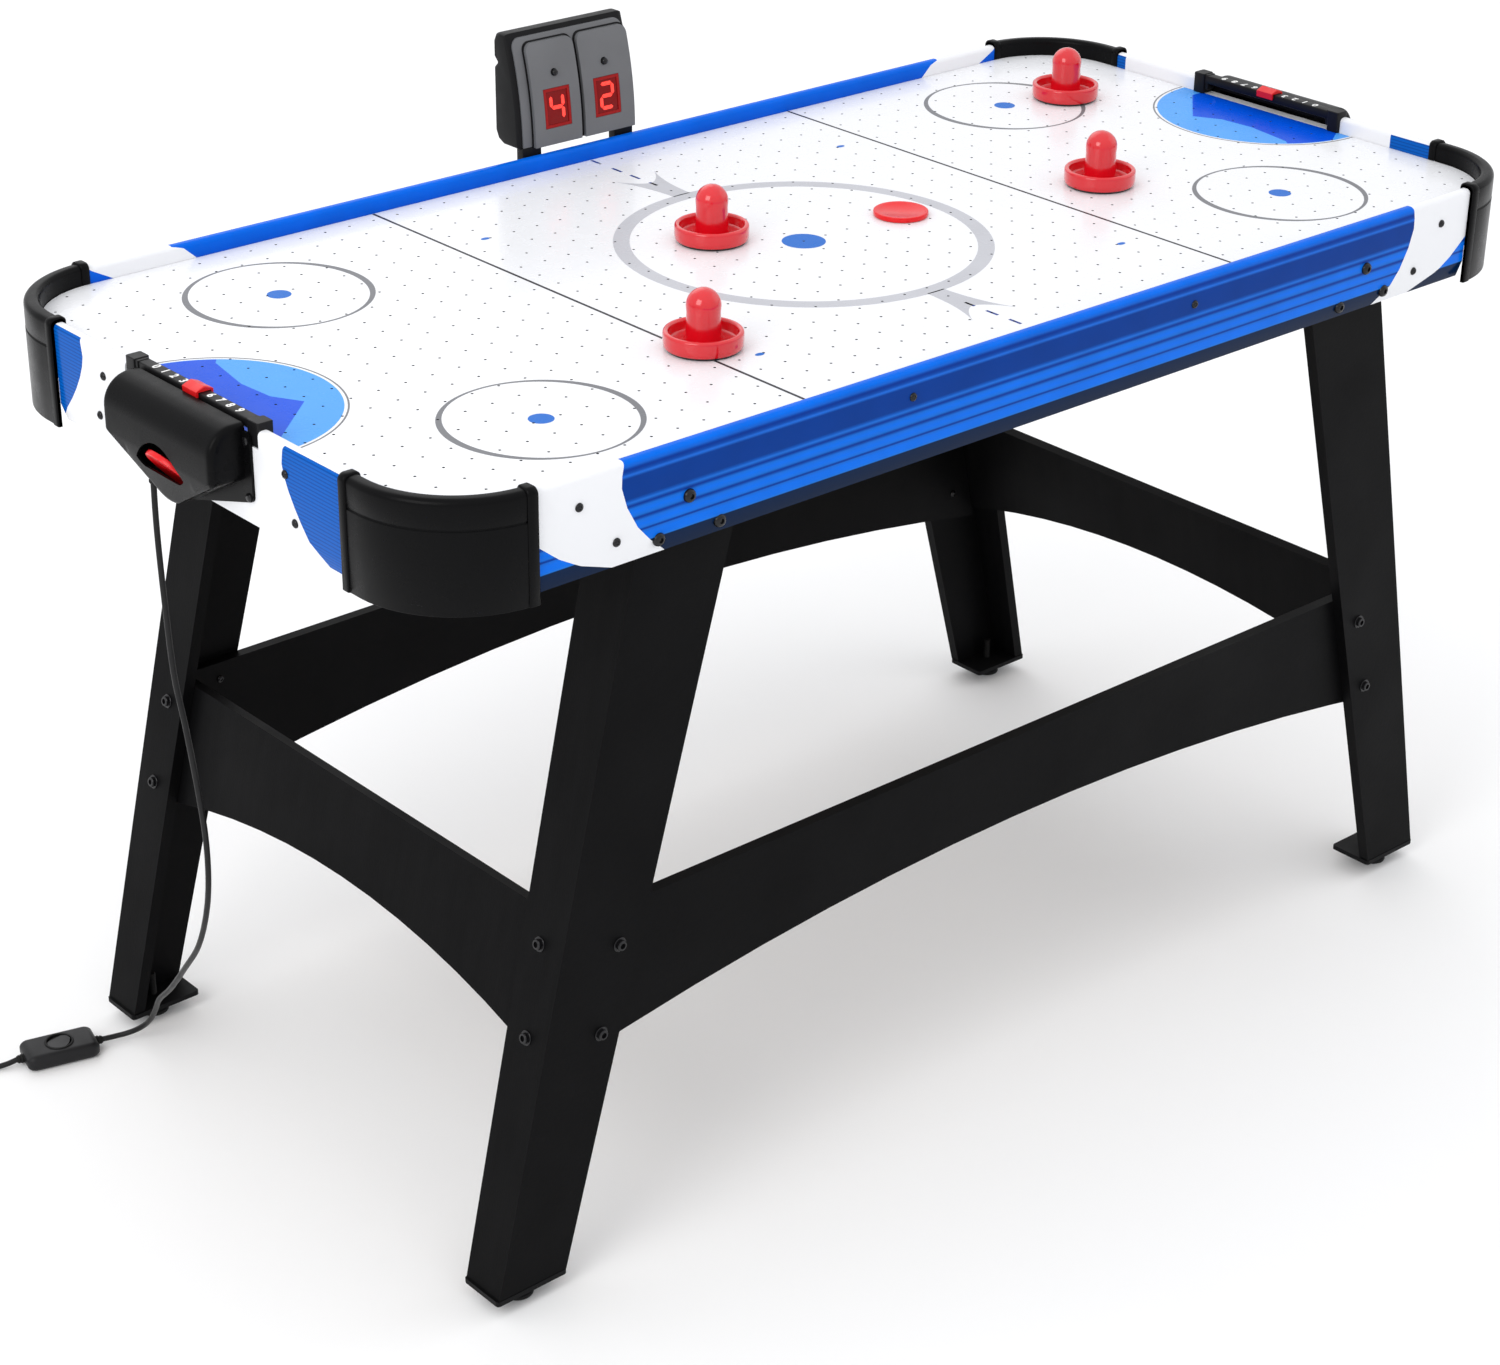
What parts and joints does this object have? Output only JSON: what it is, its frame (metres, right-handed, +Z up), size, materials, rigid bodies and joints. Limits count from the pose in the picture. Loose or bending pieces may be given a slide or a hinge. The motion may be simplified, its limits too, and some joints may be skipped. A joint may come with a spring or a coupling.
{
  "type": "air hockey table",
  "caption": "Home air hockey table with goals, puck-return boxes, splayed legs, blower, scoreboard, strikers, pucks and a power cord with an in-line switch.",
  "frame": {"origin": "on the floor, under the centre of the box round the table with its puck-return boxes and scoreboard", "axes": "+X along the table away from the end with the power cord, +Y across towards the scoreboard side, +Z up"},
  "size_m": [1.6748, 0.778, 0.919],
  "materials": {
    "playfield_white": "white high-gloss laminate",
    "rail_blue": "gloss printed foil",
    "rail_white": "gloss printed foil",
    "black_guard": "satin moulded",
    "black_board": "matt black laminate",
    "black_cap": "moulded",
    "raw_board": "raw fibreboard",
    "striker_red": "gloss moulded",
    "puck_red": "satin moulded",
    "felt": "short pile",
    "board_housing": "satin moulded",
    "board_face": "satin grey",
    "led_red": "tinted window",
    "button_black": "matt",
    "fan_black": "moulded",
    "motor_steel": "satin",
    "cord_black": "satin jacket",
    "switch_black": "moulded"
  },
  "bodies": {
    "table": {"playfield": "playfield_white", "side_rail_front": "rail_blue", "side_rail_rear": "rail_blue", "end_rail_left": "rail_white", "end_rail_right": "rail_white", "corner_guard_front_left": "black_guard", "corner_guard_front_right": "black_guard", "corner_guard_rear_left": "black_guard", "corner_guard_rear_right": "black_guard", "puck_return_box_left": "black_guard", "puck_return_box_right": "black_guard", "goal_frame_left": "black_guard", "goal_frame_right": "black_guard", "leg_front_left": "black_board", "leg_front_right": "black_board", "leg_rear_left": "black_board", "leg_rear_right": "black_board", "long_stretcher_front": "black_board", "long_stretcher_rear": "black_board", "end_stretcher_left": "black_board", "end_stretcher_right": "black_board", "leg_cap_front_left": "black_cap", "leg_cap_front_right": "black_cap", "leg_cap_rear_left": "black_cap", "leg_cap_rear_right": "black_cap", "bottom_panel": "raw_board", "cross_batten_left": "raw_board", "cross_batten_right": "raw_board", "scoreboard_housing": "board_housing", "scoreboard_face": "board_face", "led_window_left": "led_red", "led_window_right": "led_red", "fan_housing": "fan_black", "fan_motor": "motor_steel", "cord_relief": "cord_black", "cord_upper": "cord_black", "cord_lower": "cord_black", "cord_coil": "cord_black", "switch_body": "switch_black", "plug": "switch_black"},
    "levelling_foot_front_left": {"levelling_foot_front_left": "black_cap"},
    "levelling_foot_front_right": {"levelling_foot_front_right": "black_cap"},
    "levelling_foot_rear_left": {"levelling_foot_rear_left": "black_cap"},
    "levelling_foot_rear_right": {"levelling_foot_rear_right": "black_cap"},
    "score_slider_left": {"score_slider_left": "striker_red"},
    "score_slider_right": {"score_slider_right": "striker_red"},
    "scoreboard_button_left": {"scoreboard_button_left": "button_black"},
    "scoreboard_button_right": {"scoreboard_button_right": "button_black"},
    "puck": {"puck": "puck_red"},
    "spare_puck": {"spare_puck": "puck_red"},
    "impeller": {"fan_impeller": "fan_black"},
    "rocker": {"switch_rocker": "switch_black"},
    "striker_1": {"striker_1": "striker_red", "striker_1_felt": "felt"},
    "striker_2": {"striker_2": "striker_red", "striker_2_felt": "felt"},
    "striker_3": {"striker_3": "striker_red", "striker_3_felt": "felt"},
    "striker_4": {"striker_4": "striker_red", "striker_4_felt": "felt"}
  },
  "joints": [
    {"name": "levelling_foot_front_left_screw", "type": "hinge", "parent": "table", "child": "levelling_foot_front_left", "pos_m": [-0.606, -0.32625, 0.02], "axis": [0, 0, 1], "range_deg": [-720, 720]},
    {"name": "levelling_foot_front_right_screw", "type": "hinge", "parent": "table", "child": "levelling_foot_front_right", "pos_m": [0.606, -0.32625, 0.02], "axis": [0, 0, 1], "range_deg": [-720, 720]},
    {"name": "levelling_foot_rear_left_screw", "type": "hinge", "parent": "table", "child": "levelling_foot_rear_left", "pos_m": [-0.606, 0.28775, 0.02], "axis": [0, 0, 1], "range_deg": [-720, 720]},
    {"name": "levelling_foot_rear_right_screw", "type": "hinge", "parent": "table", "child": "levelling_foot_rear_right", "pos_m": [0.606, 0.28775, 0.02], "axis": [0, 0, 1], "range_deg": [-720, 720]},
    {"name": "score_slider_left_slide", "type": "slide", "parent": "table", "child": "score_slider_left", "axis": [0, 1, 0], "range_m": [-0.072, 0.072]},
    {"name": "score_slider_right_slide", "type": "slide", "parent": "table", "child": "score_slider_right", "axis": [0, 1, 0], "range_m": [-0.072, 0.072]},
    {"name": "striker_1_glide", "type": "slide", "parent": "table", "child": "striker_1", "axis": [0, 1, 0], "range_m": [-0.352, 0.234]},
    {"name": "striker_2_glide", "type": "slide", "parent": "table", "child": "striker_2", "axis": [0, 1, 0], "range_m": [-0.136, 0.45]},
    {"name": "striker_3_glide", "type": "slide", "parent": "table", "child": "striker_3", "axis": [0, 1, 0], "range_m": [-0.233, 0.353]},
    {"name": "striker_4_glide", "type": "slide", "parent": "table", "child": "striker_4", "axis": [0, 1, 0], "range_m": [-0.468, 0.118]},
    {"name": "puck_glide", "type": "slide", "parent": "table", "child": "puck", "axis": [0, 1, 0], "range_m": [-0.3, 0.304]},
    {"name": "spare_puck_draw", "type": "slide", "parent": "table", "child": "spare_puck", "axis": [-0.6428, 0, 0.766], "range_m": [0, 0.002]},
    {"name": "impeller_spin", "type": "hinge", "parent": "table", "child": "impeller", "pos_m": [-0.09, -0.01925, 0.722], "axis": [0, 0, 1], "continuous": true},
    {"name": "rocker_tip", "type": "hinge", "parent": "table", "child": "rocker", "pos_m": [-0.724, 0.27425, 0.0132], "axis": [-0.2588, -0.9659, 0], "range_deg": [-14, 0]},
    {"name": "scoreboard_button_left_press", "type": "slide", "parent": "table", "child": "scoreboard_button_left", "axis": [0, 1, 0], "range_m": [0, 0.0015], "stiffness_N_per_m": 200},
    {"name": "scoreboard_button_right_press", "type": "slide", "parent": "table", "child": "scoreboard_button_right", "axis": [0, 1, 0], "range_m": [0, 0.0015], "stiffness_N_per_m": 200}
  ]
}
